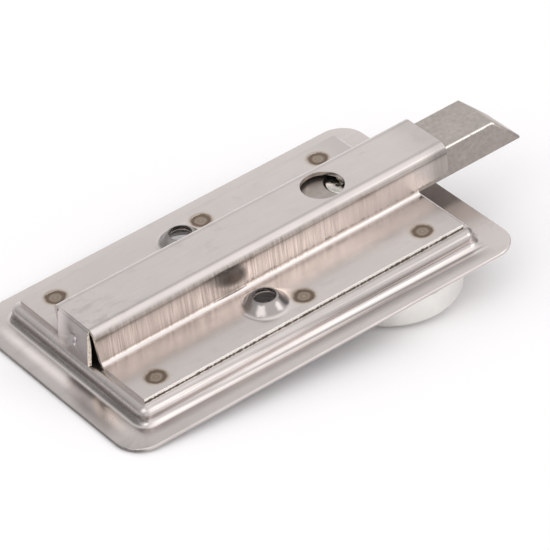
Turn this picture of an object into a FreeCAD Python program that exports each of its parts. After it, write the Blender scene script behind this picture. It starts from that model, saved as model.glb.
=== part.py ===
"""Flush slam latch: a pressed tray with a spring bolt in a folded guide on its back.

Millimetres. The origin is the centre of the tray on the back face of its flange, which seats on the panel.
+X is the way the bolt is thrown, +Z points out of the back of the latch, +Y is across it.
"""
import FreeCAD, Part
import math
import os
from FreeCAD import Vector

# Tray
tray_length = 127.0
tray_width = 76.0
tray_corner = 7.8
tray_sheet = 1.2
rim_break = 0.3

# Dish pressed into the tray, which stands up from its back inside the flange
flange_end = 8.7
flange_side = 7.4
dish_depth = 4.8
dish_corner = 3.4
dish_shoulder = 2.6
dish_root = 2.0

# Screw dimples, pressed through the guide and the tray together
screw_hole = 6.3
screw_spacing = 36.8
screw_x = -6.5
dimple_mouth = 12.6
dimple_half_angle = 41.0
dimple_rim = 0.45
dimple_lip = 0.42
dimple_root = 0.75
nest_gap = 0.1

# Slam bolt, which reaches past the tray's right end
bolt_width = 15.0
bolt_height = 9.5
bolt_reach = 25.2
bolt_bevel_angle = 45.0
bolt_nose = 0.5
bolt_edge = 0.8
bolt_travel = 25.0

# Running clearances round the bolt
bolt_lift = 0.2
bolt_side_gap = 0.3
bolt_top_gap = 1.1

# Bolt guide, folded from one sheet and set in from both ends of the tray
guide_sheet = 1.2
guide_setback = 11.5
guide_border = 9.3
fold_radius = 1.2
wall_splay = 0.4
guide_overhang = 10.4
overhang_foot = 1.8
overhang_corner = 2.0
wall_start_slant = 0.9
access_hole = 12.0
access_offset = 7.1

# End tab of the guide
tab_setback = 1.3
tab_lean_angle = 7.0
tab_lift = 0.6
tab_corner = 2.6
pip_width = 3.6
pip_depth = 0.6

# Spot-weld marks on the guide's side flanges
weld_mark = 5.6
weld_mark_depth = 0.1
weld_from_side = 5.3
weld_from_start = 7.5
weld_from_screw = 9.4
weld_from_end = 9.6

# Finger pull, a drawn oval cap, with its post and screw, set in from the tray's right end
pull_setback = 28.8
pull_length = 73.6
pull_width = 37.4
pull_sheet = 1.2
pull_depth = 8.2
pull_gap = 1.0
pull_round = 1.8
post_length = 11.0
post_width = 9.0
slot_side_gap = 0.2
slot_end_gap = 0.15
screw_shank = 6.0
screw_head = 10.4
screw_head_height = 2.95
screw_head_break = 0.4
screw_head_recess = 0.25
screw_engagement = 9.0
screw_hole_depth = 10.5
screw_shank_gap = 0.2
screw_thread_gap = 0.05
counterbore_gap = 0.4
drive_span = 5.4
drive_blade = 1.3
drive_depth = 1.8

# Return spring, which lies a little above the bolt's middle, and the spigot that holds it
spring_rise = 0.9
spring_wire = 0.7
spring_inside = 6.2
spring_length = 32.0
spring_turns = 6
spring_flats = 5
spring_end_gap = 0.2
spigot_gap = 0.3
spigot_length = 4.5

# Lengths and widths that follow from the sizes above
dish_length = tray_length - 2 * flange_end
dish_width = tray_width - 2 * flange_side
guide_start = -tray_length / 2 + guide_setback
guide_end = tray_length / 2 - guide_setback
guide_width = screw_spacing + 2 * guide_border
channel_start = guide_start - tab_setback
channel_end = guide_end + guide_overhang
channel_half_inside = bolt_width / 2 + bolt_side_gap
channel_half_outside = channel_half_inside + guide_sheet
outer_fold = fold_radius + guide_sheet
pull_x = tray_length / 2 - pull_setback
access_x = pull_x - access_offset
bolt_tip_x = tray_length / 2 + bolt_reach

# Heights that follow from the sizes above
tray_front = -tray_sheet
guide_plate_top = dish_depth + guide_sheet
bolt_bottom = dish_depth + bolt_lift
bolt_top = bolt_bottom + bolt_height
bolt_middle = (bolt_bottom + bolt_top) / 2
spring_height = bolt_middle + spring_rise
channel_ceiling = bolt_top + bolt_top_gap
channel_top = channel_ceiling + guide_sheet
pull_back = tray_front - pull_gap
pull_front = pull_back - pull_depth
pull_floor = pull_front + pull_sheet
screw_seat = bolt_top - screw_head_recess - screw_head_height

# Two lengths closer than this are the same
same = 1e-4


def rounded_outline(length, width, radius, z, x_middle=0.0):
    """Closed wire of a rectangle with round corners, level at z."""
    x0, x1 = x_middle - length / 2, x_middle + length / 2
    y0, y1 = -width / 2, width / 2
    diagonal = radius * (1 - math.sqrt(0.5))
    corners = [(x1, y0, -1, 1), (x1, y1, -1, -1), (x0, y1, 1, -1), (x0, y0, 1, 1)]
    arcs = []
    for number, (x, y, sx, sy) in enumerate(corners):
        along_x = Vector(x + sx * radius, y, z)
        along_y = Vector(x, y + sy * radius, z)
        middle = Vector(x + sx * diagonal, y + sy * diagonal, z)
        ends = (along_x, along_y) if number % 2 == 0 else (along_y, along_x)
        arcs.append(Part.Arc(ends[0], middle, ends[1]).toShape())
    edges = []
    for number, arc in enumerate(arcs):
        edges.append(arc)
        start = arc.Vertexes[-1].Point
        end = arcs[(number + 1) % 4].Vertexes[0].Point
        if start.distanceToPoint(end) > same:
            edges.append(Part.makeLine(start, end))
    return Part.Wire(edges)


def rounded_block(length, width, radius, z_low, z_high, x_middle=0.0):
    """Upright block with round corners."""
    outline = rounded_outline(length, width, radius, z_low, x_middle)
    return Part.Face(outline).extrude(Vector(0, 0, z_high - z_low))


def level_edges(shape, z):
    """Edges that lie wholly at height z."""
    found = []
    for edge in shape.Edges:
        box = edge.BoundBox
        if abs(box.ZMin - z) < same and abs(box.ZMax - z) < same:
            found.append(edge)
    return found


def halfway(edge):
    """Point half way along an edge."""
    return edge.valueAt((edge.FirstParameter + edge.LastParameter) / 2)


def circle_edges(shape, x, y, z, radius):
    """Circular edges of one radius round an upright axis at height z."""
    found = []
    for edge in shape.Edges:
        curve = edge.Curve
        if curve.TypeId == "Part::GeomCircle":
            centred = curve.Center.distanceToPoint(Vector(x, y, z)) < same
            if centred and abs(curve.Radius - radius) < same:
                found.append(edge)
    return found


def offset_line(points, shift):
    """The open line of points in a plane, moved sideways by shift with mitred corners."""
    moved = []
    for number, point in enumerate(points):
        normals = []
        for first in (number - 1, number):
            if 0 <= first < len(points) - 1:
                dx = points[first + 1][0] - points[first][0]
                dy = points[first + 1][1] - points[first][1]
                run = math.hypot(dx, dy)
                normals.append((-dy / run, dx / run))
        nx = sum(normal[0] for normal in normals)
        ny = sum(normal[1] for normal in normals)
        reach = 2 * shift / (nx * nx + ny * ny) if len(normals) == 2 else shift
        moved.append((point[0] + nx * reach, point[1] + ny * reach))
    return moved


def rounded_line(points, radii, place):
    """Edges along the points with an arc at each inner corner; place turns a pair into a vector."""
    edges = []
    start = points[0]
    for number in range(1, len(points) - 1):
        corner = points[number]
        arms = []
        for other in (points[number - 1], points[number + 1]):
            run = math.hypot(other[0] - corner[0], other[1] - corner[1])
            arms.append(((other[0] - corner[0]) / run, (other[1] - corner[1]) / run))
        half = math.acos(arms[0][0] * arms[1][0] + arms[0][1] * arms[1][1]) / 2
        setback = radii[number - 1] / math.tan(half)
        first = (corner[0] + arms[0][0] * setback, corner[1] + arms[0][1] * setback)
        last = (corner[0] + arms[1][0] * setback, corner[1] + arms[1][1] * setback)
        bisector = (arms[0][0] + arms[1][0], arms[0][1] + arms[1][1])
        length = math.hypot(bisector[0], bisector[1])
        reach = radii[number - 1] / math.sin(half) - radii[number - 1]
        middle = (corner[0] + bisector[0] / length * reach, corner[1] + bisector[1] / length * reach)
        edges.append(Part.makeLine(place(start), place(first)))
        edges.append(Part.Arc(place(first), place(middle), place(last)).toShape())
        start = last
    edges.append(Part.makeLine(place(start), place(points[-1])))
    return edges


def folded_section(points, sheet, inner_radius, place):
    """Face of a folded sheet: points run along its middle, bends keep one inner radius."""
    sides = []
    for side in (1, -1):
        line = offset_line(points, side * sheet / 2)
        radii = []
        for number in range(1, len(points) - 1):
            before, corner, after = points[number - 1], points[number], points[number + 1]
            turn = (corner[0] - before[0]) * (after[1] - corner[1])
            turn -= (corner[1] - before[1]) * (after[0] - corner[0])
            radii.append(inner_radius if turn * side > 0 else inner_radius + sheet)
        sides.append((line, radii))
    edges = rounded_line(sides[0][0], sides[0][1], place)
    edges += rounded_line(sides[1][0], sides[1][1], place)
    edges.append(Part.makeLine(place(sides[0][0][0]), place(sides[1][0][0])))
    edges.append(Part.makeLine(place(sides[0][0][-1]), place(sides[1][0][-1])))
    return Part.Face(Part.Wire(Part.__sortEdges__(edges)))


def across(pair):
    """A pair as a point of the YZ plane."""
    return Vector(0, pair[0], pair[1])


def lengthways(pair):
    """A pair as a point of the XZ plane."""
    return Vector(pair[0], 0, pair[1])


def dimple_cones(foot, mouth_radius, sheet):
    """Solid cone that a dimple adds above foot, and the cone and hole that its inside takes away."""
    slope = math.tan(math.radians(dimple_half_angle))
    rim_radius = screw_hole / 2 + dimple_rim
    height = (mouth_radius - rim_radius) / slope
    outside = Part.makeCone(mouth_radius, rim_radius, height, Vector(0, 0, foot))
    depth = (mouth_radius - screw_hole / 2) / slope
    inside = Part.makeCone(mouth_radius, screw_hole / 2, depth, Vector(0, 0, foot - sheet))
    hole = Part.makeCylinder(screw_hole / 2, height + 2 * sheet, Vector(0, 0, foot - sheet))
    return outside, inside.fuse(hole)


def dimple_places():
    return [(screw_x, side * screw_spacing / 2) for side in (-1, 1)]


def with_dimples(shape, foot, mouth_radius, sheet):
    """The sheet with both screw dimples pressed up from below."""
    outside, inside = dimple_cones(foot, mouth_radius, sheet)
    for x, y in dimple_places():
        shape = shape.fuse(outside.translated(Vector(x, y, 0))).removeSplitter()
        shape = shape.cut(inside.translated(Vector(x, y, 0)))
    return shape


def with_eased_dimples(shape, foot, mouth_radius):
    """The sheet with a bevelled root where each dimple rises from it, and a bevelled lip at its top."""
    rim_radius = screw_hole / 2 + dimple_rim
    top = foot + (mouth_radius - rim_radius) / math.tan(math.radians(dimple_half_angle))
    roots = []
    lips = []
    for x, y in dimple_places():
        roots += circle_edges(shape, x, y, foot, mouth_radius)
        lips += circle_edges(shape, x, y, top, rim_radius)
    return shape.makeChamfer(dimple_root, roots).makeChamfer(dimple_lip, lips)


def tray():
    """Flange and dish in one pressed sheet, with the pull's slot and two dimples."""
    flange = rounded_block(tray_length, tray_width, tray_corner, tray_front, 0)
    flange = flange.makeChamfer(rim_break, level_edges(flange, 0) + level_edges(flange, tray_front))
    dish = rounded_block(dish_length, dish_width, dish_corner, tray_front, dish_depth)
    body = flange.fuse(dish).removeSplitter()
    body = body.makeFillet(dish_root, [edge for edge in level_edges(body, 0) if is_dish_foot(edge)])
    body = body.makeFillet(dish_shoulder, level_edges(body, dish_depth))
    body = body.cut(dish_hollow())
    mouth = [edge for edge in level_edges(body, tray_front) if is_dish_foot(edge)]
    body = body.makeFillet(dish_root + tray_sheet, mouth)
    body = with_dimples(body, dish_depth, dimple_mouth / 2 - nest_gap, tray_sheet)
    return body.cut(post_slot())


def dish_hollow():
    """What the press pushes out of the dish from the front: the dish's outside less one sheet."""
    floor = dish_depth - tray_sheet
    length = dish_length - 2 * tray_sheet
    width = dish_width - 2 * tray_sheet
    hollow = rounded_block(length, width, dish_corner - tray_sheet, tray_front, floor)
    return hollow.makeFillet(dish_shoulder - tray_sheet, level_edges(hollow, floor))


def is_dish_foot(edge):
    """True for an edge where the dish meets the flange, not one of the flange's outline."""
    middle = halfway(edge)
    in_length = abs(middle.x) < dish_length / 2 + same
    in_width = abs(middle.y) < dish_width / 2 + same
    return in_length and in_width


def post_slot():
    """Slot in the dish floor, as long as the bolt's travel needs."""
    width = post_width + 2 * slot_side_gap
    right = pull_x + post_length / 2 + slot_end_gap
    left = pull_x - bolt_travel - post_length / 2 - slot_end_gap
    middle = (left + right) / 2
    return rounded_block(right - left, width, width / 2, tray_front, dish_depth + tray_sheet, middle)


def guide_trim():
    """Side view of the guide, extruded across it: its channel runs on past the right end of its plate."""
    overhang_low = guide_plate_top + overhang_foot
    outline = [
        (guide_start, dish_depth),
        (guide_end, dish_depth),
        (guide_end, overhang_low),
        (channel_end, overhang_low),
        (channel_end, channel_top),
        (guide_start - wall_start_slant, channel_top),
        (guide_start, guide_plate_top),
    ]
    points = [Vector(x, -guide_width / 2, z) for x, z in outline]
    trim = Part.Face(Part.makePolygon(points + points[:1])).extrude(Vector(0, guide_width, 0))
    free_corner = []
    for edge in trim.Edges:
        middle = halfway(edge)
        if abs(middle.x - channel_end) < same and abs(middle.z - overhang_low) < same:
            free_corner.append(edge)
    return trim.makeFillet(overhang_corner, free_corner)


def guide_channel():
    """Hat section of the guide, trimmed to its side view."""
    plate_middle = dish_depth + guide_sheet / 2
    roof_middle = channel_top - guide_sheet / 2
    wall_top = channel_half_outside - guide_sheet / 2
    wall_foot = wall_top + wall_splay
    points = [
        (-guide_width / 2, plate_middle),
        (-wall_foot, plate_middle),
        (-wall_top, roof_middle),
        (wall_top, roof_middle),
        (wall_foot, plate_middle),
        (guide_width / 2, plate_middle),
    ]
    section = folded_section(points, guide_sheet, fold_radius, across)
    length = channel_end - channel_start
    blank = section.translated(Vector(channel_start, 0, 0)).extrude(Vector(length, 0, 0))
    return blank.common(guide_trim())


def tab_line():
    """Middle of the end tab's sheet in side view, from the roof down to its free edge."""
    roof_middle = channel_top - guide_sheet / 2
    fold_x = channel_start + guide_sheet / 2
    drop = roof_middle - guide_plate_top + tab_lift
    lean = drop * math.tan(math.radians(tab_lean_angle))
    free_edge = (fold_x - lean, roof_middle - drop)
    return [(guide_start + outer_fold, roof_middle), (fold_x, roof_middle), free_edge]


def end_tab():
    """Tab folded down from the roof over the guide's left end; one of its free corners is rounded."""
    width = 2 * (channel_half_outside - outer_fold)
    section = folded_section(tab_line(), guide_sheet, fold_radius, lengthways)
    tab = section.translated(Vector(0, -width / 2, 0)).extrude(Vector(0, width, 0))
    through = []
    for edge in tab.Edges:
        at_far_side = abs(edge.BoundBox.YMin - width / 2) < same
        if at_far_side and abs(edge.Length - guide_sheet) < same:
            through.append(edge)
    lowest = min(through, key=lambda edge: halfway(edge).z)
    return tab.makeFillet(tab_corner, [lowest])


def tab_normal():
    """Unit vector out of the tab's outer face."""
    lean = math.radians(tab_lean_angle)
    return Vector(-math.cos(lean), 0, math.sin(lean))


def tab_point(z):
    """Point on the tab's outer face at height z, on the guide's middle plane."""
    line = tab_line()
    slope = (line[2][0] - line[1][0]) / (line[2][1] - line[1][1])
    x = line[1][0] + (z - line[1][1]) * slope
    return Vector(x, 0, z) + tab_normal() * (guide_sheet / 2 / math.cos(math.radians(tab_lean_angle)))


def with_pip(shape):
    """The tab's pip: a small cone pushed in from outside, standing proud inside."""
    inward = tab_normal() * -1
    surface = tab_point(spring_height)
    inner = surface + inward * guide_sheet
    bump = Part.makeCone(pip_width / 2, pip_width / 4, pip_depth, inner, inward)
    dent = Part.makeCone(pip_width / 2, pip_width / 4, pip_depth, surface, inward)
    return shape.fuse(bump).cut(dent)


def weld_marks():
    """Shallow discs that the weld electrode leaves on the side flanges."""
    marks = []
    for x in (guide_start + weld_from_start, screw_x + weld_from_screw, guide_end - weld_from_end):
        for side in (-1, 1):
            y = side * (guide_width / 2 - weld_from_side)
            foot = Vector(x, y, guide_plate_top - weld_mark_depth)
            marks.append(Part.makeCylinder(weld_mark / 2, guide_sheet, foot))
    return marks


def bolt_guide():
    """Folded guide: channel, flanges, end tab, access hole, dimples and weld marks."""
    body = guide_channel().fuse(end_tab()).removeSplitter()
    body = with_pip(body)
    hole = Part.makeCylinder(access_hole / 2, channel_top - bolt_top, Vector(access_x, 0, bolt_top))
    body = body.cut(hole)
    body = with_dimples(body, guide_plate_top, dimple_mouth / 2, guide_sheet)
    body = with_eased_dimples(body, guide_plate_top, dimple_mouth / 2)
    return body.cut(weld_marks())


def slam_bolt():
    """Bevelled bar with a counterbored screw hole and a spring spigot."""
    tail_x = spring_start() + spring_length
    run = (bolt_height - bolt_nose) / math.tan(math.radians(bolt_bevel_angle))
    outline = [
        (tail_x, bolt_bottom),
        (bolt_tip_x, bolt_bottom),
        (bolt_tip_x, bolt_bottom + bolt_nose),
        (bolt_tip_x - run, bolt_top),
        (tail_x, bolt_top),
    ]
    points = [Vector(x, -bolt_width / 2, z) for x, z in outline]
    bar = Part.Face(Part.makePolygon(points + points[:1])).extrude(Vector(0, bolt_width, 0))
    bar = bar.makeFillet(bolt_edge, [edge for edge in bar.Edges if is_upper_corner(edge)])
    spigot_radius = spring_inside / 2 - spigot_gap
    tail = Vector(tail_x, 0, spring_height)
    spigot = Part.makeCylinder(spigot_radius, spigot_length, tail, Vector(-1, 0, 0))
    bar = bar.fuse(spigot)
    bore = Part.makeCylinder(screw_head / 2 + counterbore_gap, bolt_height, Vector(pull_x, 0, screw_seat))
    hole = Part.makeCylinder(screw_shank / 2 + screw_shank_gap, bolt_height, Vector(pull_x, 0, bolt_bottom))
    return bar.cut([bore, hole])


def is_upper_corner(edge):
    """True for a corner of the bar that runs along its top or down its bevel, at one side."""
    box = edge.BoundBox
    return box.XLength > same and box.YLength < same and box.ZMax > bolt_middle


def with_stepped_round(shape, z, radius):
    """The shape with its lowest edges, level at z, rounded in three flat steps that touch one radius."""
    first = radius * (1 - math.tan(math.pi / 8))
    second = radius * (math.tan(math.pi / 8) - math.tan(math.pi / 16))
    shape = shape.makeChamfer(first, level_edges(shape, z))
    return shape.makeChamfer(second, level_edges(shape, z) + level_edges(shape, z + first))


def finger_pull():
    """Oval cap in front of the tray, drawn from sheet, open towards the tray and round at its front edge."""
    cap = rounded_block(pull_width, pull_length, pull_width / 2, pull_front, pull_back, pull_x)
    cap = with_stepped_round(cap, pull_front, pull_round)
    inside_width = pull_width - 2 * pull_sheet
    inside_length = pull_length - 2 * pull_sheet
    inside = rounded_block(inside_width, inside_length, inside_width / 2, pull_floor, pull_back, pull_x)
    inside = inside.makeChamfer(pull_round - pull_sheet, level_edges(inside, pull_floor))
    return cap.cut(inside)


def pull_post():
    """Round-ended post, welded to the cap's floor, that passes through the slot up to the bolt."""
    post = rounded_block(post_length, post_width, post_width / 2, pull_floor, bolt_bottom, pull_x)
    radius = screw_shank / 2 + screw_thread_gap
    hole = Part.makeCylinder(radius, screw_hole_depth, Vector(pull_x, 0, bolt_bottom - screw_hole_depth))
    return post.cut(hole)


def pull_screw():
    """Screw with a low round head and a cross recess, down through the bolt into the post."""
    top = screw_seat + screw_head_height
    head = Part.makeCylinder(screw_head / 2, screw_head_height, Vector(pull_x, 0, screw_seat))
    head = head.makeChamfer(screw_head_break, circle_edges(head, pull_x, 0, top, screw_head / 2))
    tip = bolt_bottom - screw_engagement
    shank = Part.makeCylinder(screw_shank / 2, screw_seat - tip, Vector(pull_x, 0, tip))
    cuts = []
    for length, width in ((drive_span, drive_blade), (drive_blade, drive_span)):
        corner = Vector(pull_x - length / 2, -width / 2, top - drive_depth)
        cuts.append(Part.makeBox(length, width, screw_head_height, corner))
    return head.fuse(shank).cut(cuts)


def spring_start():
    """X of the spring's fixed end, just clear of the end tab's pip."""
    return tab_point(spring_height).x + guide_sheet + pip_depth + spring_end_gap


def return_spring():
    """Coil spring with ground ends, from the end tab to the bolt's tail; its wire is drawn with flats."""
    mean_radius = (spring_inside + spring_wire) / 2
    pitch = (spring_length + spring_wire) / spring_turns
    helix = Part.makeHelix(pitch, spring_length + spring_wire, mean_radius)
    flats = []
    for number in range(spring_flats + 1):
        angle = 2 * math.pi * (number + 0.5) / spring_flats
        outward = mean_radius + spring_wire / 2 * math.cos(angle)
        flats.append(Vector(outward, 0, spring_wire / 2 * math.sin(angle)))
    coil = Part.Wire(helix).makePipeShell([Part.makePolygon(flats)], True, True)
    first_face = Vector(0, 0, spring_wire / 2)
    coil = coil.common(Part.makeCylinder(spring_inside / 2 + 2 * spring_wire, spring_length, first_face))
    coil.rotate(Vector(0, 0, 0), Vector(0, 1, 0), 90)
    coil.translate(Vector(spring_start() - spring_wire / 2, 0, spring_height))
    return coil


def main():
    os.makedirs("parts", exist_ok=True)
    pieces = {
        "tray": tray(),
        "bolt_guide": bolt_guide(),
        "slam_bolt": slam_bolt(),
        "pull_handle": finger_pull(),
        "pull_post": pull_post(),
        "pull_screw": pull_screw(),
        "return_spring": return_spring(),
    }
    for name, shape in pieces.items():
        solid = shape.Solids[0] if len(shape.Solids) == 1 else shape
        box = solid.BoundBox
        print(name, "solids", len(shape.Solids), "valid", solid.isValid(), "volume", round(solid.Volume, 1))
        print("  from", [round(v, 2) for v in (box.XMin, box.YMin, box.ZMin)],
              "to", [round(v, 2) for v in (box.XMax, box.YMax, box.ZMax)])
        solid.exportStep(f"parts/{name}.step")


main()
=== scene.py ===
# %% [markdown]
# # A flush slam latch, seen from its back
# The latch is a pressed stainless steel tray. A folded guide is spot-welded to the back of its dish, and a
# bevelled bolt slides in the guide. The shapes come from the imported model, already in their places. This
# script gives them their finishes, the marks that making them leaves, painted light and shade, a table, light
# and a camera.
#
# X runs along the bolt, to the right in the picture. Y runs across the latch, and the camera stands on its
# minus side, the near side. Z comes out of the latch's back, upwards in the picture.

# %% Load the model, with a helper for the size of its parts
import math

import bpy
import bmesh
from mathutils import Matrix, Vector


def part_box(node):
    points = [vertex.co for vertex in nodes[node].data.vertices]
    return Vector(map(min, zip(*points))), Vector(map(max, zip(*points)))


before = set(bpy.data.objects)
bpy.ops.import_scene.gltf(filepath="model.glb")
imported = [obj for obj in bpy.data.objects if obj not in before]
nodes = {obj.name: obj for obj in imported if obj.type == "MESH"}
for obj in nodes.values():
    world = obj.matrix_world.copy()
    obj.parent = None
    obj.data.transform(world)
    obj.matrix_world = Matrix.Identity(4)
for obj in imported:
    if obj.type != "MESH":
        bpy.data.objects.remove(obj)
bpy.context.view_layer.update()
MM = 0.001


# %% [markdown]
# ## Rounded shading on a mesh of loose triangles
# The model arrives as loose triangles with flat shading. Welding them and shading them smooth would smear
# light over every fold, so the shading stays split where two faces meet at a sharp angle. The limit lies
# just above 45 degrees, so that a small 45 degree chamfer shades as the rounded edge that pressing gives.
# Weighted normals keep large flat faces flat, right up to the rounded edge beside them.

# %% Smooth shading that keeps sharp edges
SHARP_ANGLE = math.radians(47)
SAME_POINT = 0.002 * MM


def shade(piece):
    """Smooth shading, split at sharp edges."""
    piece.data.polygons.foreach_set("use_smooth", [True] * len(piece.data.polygons))
    weld = piece.modifiers.new("Weld", "WELD")
    weld.merge_threshold = SAME_POINT
    split = piece.modifiers.new("Sharp edges", "EDGE_SPLIT")
    split.split_angle = SHARP_ANGLE
    normals = piece.modifiers.new("Weighted normals", "WEIGHTED_NORMAL")
    normals.keep_sharp = True


for piece in nodes.values():
    shade(piece)
print("shaded", len(nodes), "nodes, split above", round(math.degrees(SHARP_ANGLE)), "degrees")

# %% [markdown]
# ## Colours and shader nodes
# Colours are written as the hex codes that a picture shows, and one function turns them to the linear values
# that a shader needs. Another adds a node, sets it and links it, so that a material reads as a short list. An
# input takes a number, a colour, a socket, or a whole node, which then feeds it from its first output in use.

# %% Helpers for colours and nodes


def colour(code):
    """Linear RGBA of an sRGB hex code."""
    channels = [int(code[start:start + 2], 16) / 255 for start in (0, 2, 4)]
    linear = [value / 12.92 if value <= 0.04045 else ((value + 0.055) / 1.055) ** 2.4
              for value in channels]
    return (*linear, 1.0)


def put(tree, kind, inputs=None, **settings):
    """Adds one node with its settings and links."""
    made = tree.nodes.new(kind)
    for name, value in settings.items():
        setattr(made, name, value)
    for name, value in (inputs or {}).items():
        if isinstance(value, bpy.types.Node):
            value = next(output for output in value.outputs if output.enabled)
        if isinstance(value, bpy.types.NodeSocket):
            tree.links.new(value, made.inputs[name])
        else:
            made.inputs[name].default_value = value
    return made


def new_material(name):
    """An empty material and its tree of nodes."""
    made = bpy.data.materials.new(name)
    made.use_nodes = True
    made.node_tree.nodes.clear()
    return made, made.node_tree


SHEET_TINT = "D1C9C6"
print("linear tint of the sheet", [round(value, 3) for value in colour(SHEET_TINT)])

# %% [markdown]
# ## Distances and patterns in millimetres
# Every pattern reads Object coordinates, which are metres from the latch's own origin. Multiplied by a
# thousand they are millimetres, so a grain 0.4 mm wide is simply a noise whose cells are 0.4 units apart.
# The cells may be long in one direction, as a rub or a rolling mark is. A line is a narrow band of distances,
# strongest along its middle; the same function draws real marks and painted light and shade.

# %% Patterns that the finishes share


def millimetres(tree):
    """Object coordinates in millimetres."""
    coordinates = put(tree, "ShaderNodeTexCoord")
    return put(tree, "ShaderNodeVectorMath", {0: coordinates.outputs["Object"], "Scale": 1 / MM},
               operation="SCALE")


def grain(tree, where, cell, detail=3.0):
    """Noise with cells of the given size along x, y and z, in millimetres."""
    spread = put(tree, "ShaderNodeVectorMath", {0: where, 1: [1 / size for size in cell]},
                 operation="MULTIPLY")
    return put(tree, "ShaderNodeTexNoise",
               {"Vector": spread, "Scale": 1.0, "Detail": detail, "Roughness": 0.6})


def line_band(tree, distance, middle, foot, top, beside=0.0, on=1.0, interpolation="LINEAR"):
    """A line at one distance: on within top of its middle, and beside from foot outwards."""
    offset = put(tree, "ShaderNodeMath", {0: distance, 1: middle}, operation="SUBTRACT")
    offset = put(tree, "ShaderNodeMath", {0: offset}, operation="ABSOLUTE")
    return put(tree, "ShaderNodeMapRange",
               {"Value": offset, "From Min": foot, "From Max": top, "To Min": beside, "To Max": on},
               interpolation_type=interpolation)


print("one object unit is", 1 / MM, "mm")

# %% [markdown]
# ## Stainless sheet
# Cold-rolled stainless leaves the mill with a dull, even sheen, the finish that mills call 2B. The rolls
# leave a very fine grain along the sheet, and handling leaves soft cloudy patches and faint smudges. The
# grain is drawn a little coarser than the real one, so that it shows at all at this size. Steel's own grey
# is its base colour; everything else is what it mirrors, so roughness and small changes of it matter more
# than colour.

# %% Rolled stainless sheet
SHEET = 1.2


def sheet_light(tree, where):
    """How light rolled sheet is from place to place: clouds, smudges and rolling grain."""
    cloud = grain(tree, where, (11.0, 7.0, 7.0), 4.0)
    cloudy = put(tree, "ShaderNodeMapRange",
                 {"Value": cloud, "From Min": 0.3, "From Max": 0.7, "To Min": 0.955, "To Max": 1.035})
    smudge = grain(tree, where, (7.0, 4.0, 4.0), 3.0)
    smudged = put(tree, "ShaderNodeMapRange",
                  {"Value": smudge, "From Min": 0.56, "From Max": 0.7, "To Min": 1.0, "To Max": 0.95},
                  interpolation_type="SMOOTHSTEP")
    rolled = grain(tree, where, (26.0, 0.6, 0.6), 2.0)
    rolling = put(tree, "ShaderNodeMapRange",
                  {"Value": rolled, "From Min": 0.3, "From Max": 0.7, "To Min": 0.985, "To Max": 1.015})
    light = put(tree, "ShaderNodeMath", {0: cloudy, 1: smudged}, operation="MULTIPLY")
    return put(tree, "ShaderNodeMath", {0: light, 1: rolling}, operation="MULTIPLY"), cloud, rolled


BEVEL_SAMPLES = 6


def finish_metal(tree, tone, rough, relief, depth, rounding, metallic=1.0):
    """Metal shader with a fine relief, its depth in millimetres, and edges rounded by the given radius."""
    soft = put(tree, "ShaderNodeBevel", {"Radius": rounding * MM}, samples=BEVEL_SAMPLES)
    bump = put(tree, "ShaderNodeBump",
               {"Height": relief, "Distance": depth * MM, "Strength": 1.0, "Normal": soft})
    made = put(tree, "ShaderNodeBsdfPrincipled",
               {"Base Color": tone, "Metallic": metallic, "Roughness": rough, "Normal": bump})
    put(tree, "ShaderNodeOutputMaterial", {"Surface": made})


print("sheet", SHEET, "mm thick")

# %% [markdown]
# ## The tray
# The tray is a flange with a raised dish, drawn in one stroke of a press. At its left end the lower half of
# the dish's wall has a painted dark reflection, in streaks along the wall. The wall is found by its normal,
# which points to the left. The marks, most of them painted light and shade, are gathered as factors that make
# the sheet lighter or darker, and the last cell of the tray multiplies its tone by them.

# %% Pressed tray and the painted dark reflection on its left wall
tray_finish, tree = new_material("rolled stainless, pressed")
where = millimetres(tree)
point = put(tree, "ShaderNodeSeparateXYZ", {0: where})
facing = put(tree, "ShaderNodeSeparateXYZ", {0: put(tree, "ShaderNodeNewGeometry").outputs["Normal"]})
light, cloud, rolled = sheet_light(tree, where)

# Painted dark reflection: the lower half of the left wall is darkened, in streaks along it
reflection_streak_noise = grain(tree, where, (1.0, 14.0, 1.0), 3.0)
painted_dark_reflection = put(tree, "ShaderNodeMapRange",
              {"Value": reflection_streak_noise, "From Min": 0.35, "From Max": 0.65, "To Min": 0.3, "To Max": 0.46})
left_wall = put(tree, "ShaderNodeMapRange",
                {"Value": facing.outputs["X"], "From Min": -0.3, "From Max": -0.62},
                interpolation_type="SMOOTHSTEP")
lower_half = put(tree, "ShaderNodeMapRange",
                 {"Value": point.outputs["Z"], "From Min": 3.3, "From Max": 2.1},
                 interpolation_type="SMOOTHSTEP")
left_wall = put(tree, "ShaderNodeMath", {0: left_wall, 1: lower_half}, operation="MULTIPLY")
painted_dark_reflection = put(tree, "ShaderNodeMix", {0: left_wall, 2: 1.0, 3: painted_dark_reflection})
print("started", tray_finish.name)

# %% [markdown]
# ## Painted highlights and shade along the foot of the dish
# Four painted lines lie side by side along the foot of the near wall. From the wall outwards they are a dark
# band, a bright glint, a dark hairline and a bright band named rub: painted shade and painted highlights. A
# painted dark reflection of the wall darkens the flange round them and fades outwards. All of them slant a
# little against the dish, and end before its corners.

# %% Painted lines and painted dark reflection along the near wall
LINE_SLANT = 0.0162
HAIRLINE = 31.6
WALL_REFLECTION_EDGE = 33.6
WALL_REFLECTION_WIDTH = 2.8
NEAR_SIDE = 20.0
LINES_END = 56.0
LINES_WHOLE = 50.0
# The first and third lines are painted shade, the second and fourth are painted highlights
# Each line's distance outwards from the hairline, half width at its foot and its top, and change of light
PAINTED_ROOT_LINES = {
    "dark_band": (-1.4, 0.45, 0.1, -0.15),
    "glint": (-0.75, 0.55, 0.15, 0.38),
    "hairline": (0.0, 0.3, 0.05, -0.22),
    "rub": (0.8, 0.65, 0.3, 0.5),
}

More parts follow.
